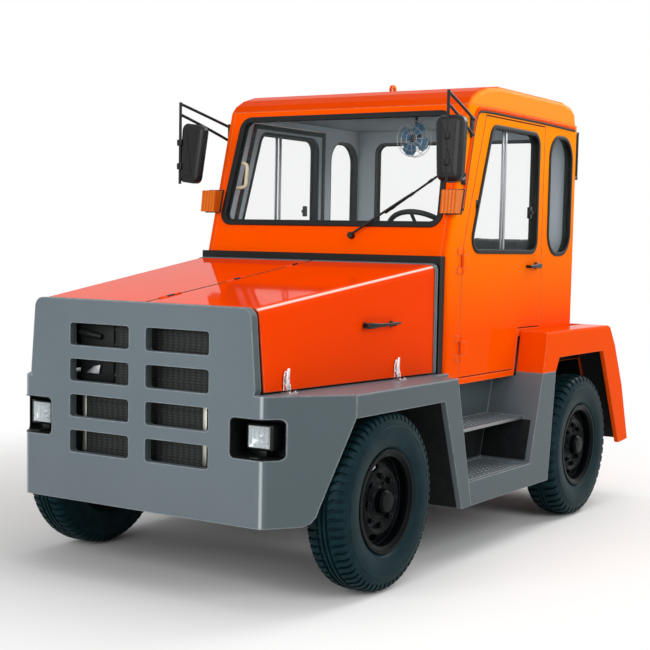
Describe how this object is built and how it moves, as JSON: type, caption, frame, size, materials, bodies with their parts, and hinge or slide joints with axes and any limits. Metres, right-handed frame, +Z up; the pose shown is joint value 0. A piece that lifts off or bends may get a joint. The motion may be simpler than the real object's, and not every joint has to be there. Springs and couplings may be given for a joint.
{
  "type": "tow tractor",
  "caption": "Closed-cab wheeled tow tractor with a slotted front plate, gull-wing bonnet, stepped sides, swinging doors, steered front wheels and a rear pin hitch.",
  "frame": {"origin": "on the ground, below the middle of the bounding box", "axes": "+X forwards, +Y to the driver's left, +Z up"},
  "size_m": [3.5, 1.75, 2.3029],
  "materials": {
    "grey_paint": "satin grey paint",
    "orange_paint": "gloss orange paint",
    "black_paint": "satin black paint",
    "tyre_rubber": "matt tyre rubber",
    "core_metal": "dark radiator core",
    "engine_iron": "painted casting",
    "lamp_clear": "clear lens in a dark shell",
    "lamp_red": "red lens",
    "lamp_amber": "amber lens",
    "clear_glass": "clear safety glass",
    "dark_plastic": "grained dark plastic",
    "seat_cloth": "dark seat covering",
    "fan_blue": "blue fan",
    "seal_rubber": "black rubber",
    "latch_chrome": "plated latch"
  },
  "bodies": {
    "chassis": {"front_bumper": "grey_paint", "front_fender_left": "grey_paint", "front_fender_right": "grey_paint", "step_box_left": "grey_paint", "step_box_right": "grey_paint", "rear_fender_left": "orange_paint", "rear_fender_right": "orange_paint", "rear_panel": "orange_paint", "cab_front": "orange_paint", "cab_side_left": "orange_paint", "cab_side_right": "orange_paint", "cab_rear": "orange_paint", "cab_roof": "orange_paint", "chassis_frame": "black_paint", "tow_hitch": "black_paint", "front_axle": "black_paint", "rear_axle": "black_paint", "bonnet_rail": "black_paint", "mirrors": "black_paint", "wiper": "black_paint", "grab_rails": "black_paint", "radiator": "core_metal", "engine_block": "engine_iron", "headlamps": "lamp_clear", "tail_lamps": "lamp_red", "indicators": "lamp_amber", "windscreen": "clear_glass", "rear_window": "clear_glass", "quarter_windows": "clear_glass", "dashboard": "dark_plastic", "cab_floor": "dark_plastic", "driver_seat": "seat_cloth", "cab_fan": "fan_blue", "cowl_seal": "seal_rubber", "bonnet_latches": "latch_chrome"},
    "left_door": {"door_left": "orange_paint", "door_window_left": "clear_glass", "door_handle_left": "dark_plastic"},
    "right_door": {"door_right": "orange_paint", "door_window_right": "clear_glass", "door_handle_right": "dark_plastic"},
    "left_bonnet": {"bonnet_left": "orange_paint", "bonnet_handle_left": "dark_plastic", "latch_levers_left": "latch_chrome"},
    "right_bonnet": {"bonnet_right": "orange_paint", "bonnet_handle_right": "dark_plastic", "latch_levers_right": "latch_chrome"},
    "left_knuckle": {"knuckle_left": "black_paint"},
    "right_knuckle": {"knuckle_right": "black_paint"},
    "front_left_wheel": {"rim_front_left": "black_paint", "tyre_front_left": "tyre_rubber"},
    "front_right_wheel": {"rim_front_right": "black_paint", "tyre_front_right": "tyre_rubber"},
    "rear_left_wheel": {"rim_rear_left": "black_paint", "tyre_rear_left": "tyre_rubber"},
    "rear_right_wheel": {"rim_rear_right": "black_paint", "tyre_rear_right": "tyre_rubber"},
    "steering_hand_wheel": {"steering_wheel": "dark_plastic"}
  },
  "joints": [
    {"name": "steer_left", "type": "hinge", "parent": "chassis", "child": "left_knuckle", "pos_m": [1.14, 0.685, 0.385], "axis": [0, 0, 1], "range_deg": [-35, 35]},
    {"name": "steer_right", "type": "hinge", "parent": "chassis", "child": "right_knuckle", "pos_m": [1.14, -0.685, 0.385], "axis": [0, 0, 1], "range_deg": [-35, 35]},
    {"name": "hand_wheel_turn", "type": "hinge", "parent": "chassis", "child": "steering_hand_wheel", "pos_m": [-0.03, 0.35, 1.5], "axis": [-0.6562, 0, 0.7546], "range_deg": [-420, 420]},
    {"name": "spin_front_left", "type": "hinge", "parent": "left_knuckle", "child": "front_left_wheel", "pos_m": [1.14, 0.775, 0.385], "axis": [0, 1, 0], "continuous": true},
    {"name": "spin_front_right", "type": "hinge", "parent": "right_knuckle", "child": "front_right_wheel", "pos_m": [1.14, -0.775, 0.385], "axis": [0, 1, 0], "continuous": true},
    {"name": "spin_rear_left", "type": "hinge", "parent": "chassis", "child": "rear_left_wheel", "pos_m": [-0.925, 0.775, 0.385], "axis": [0, 1, 0], "continuous": true},
    {"name": "spin_rear_right", "type": "hinge", "parent": "chassis", "child": "rear_right_wheel", "pos_m": [-0.925, -0.775, 0.385], "axis": [0, 1, 0], "continuous": true},
    {"name": "door_left_swing", "type": "hinge", "parent": "chassis", "child": "left_door", "pos_m": [0.253, 0.725, 1.18], "axis": [0, 0, -1], "range_deg": [0, 72]},
    {"name": "door_right_swing", "type": "hinge", "parent": "chassis", "child": "right_door", "pos_m": [0.253, -0.725, 1.18], "axis": [0, 0, 1], "range_deg": [0, 72]},
    {"name": "bonnet_left_lift", "type": "hinge", "parent": "chassis", "child": "left_bonnet", "pos_m": [1.077, 0, 1.291], "axis": [0.9906, 0, -0.1369], "range_deg": [0, 60]},
    {"name": "bonnet_right_lift", "type": "hinge", "parent": "chassis", "child": "right_bonnet", "pos_m": [1.077, 0, 1.291], "axis": [-0.9906, 0, 0.1369], "range_deg": [0, 60]}
  ],
  "couplings": [
    {"joint": "steer_right", "follows": "steer_left", "ratio": 1},
    {"joint": "hand_wheel_turn", "follows": "steer_left", "ratio": 12}
  ]
}
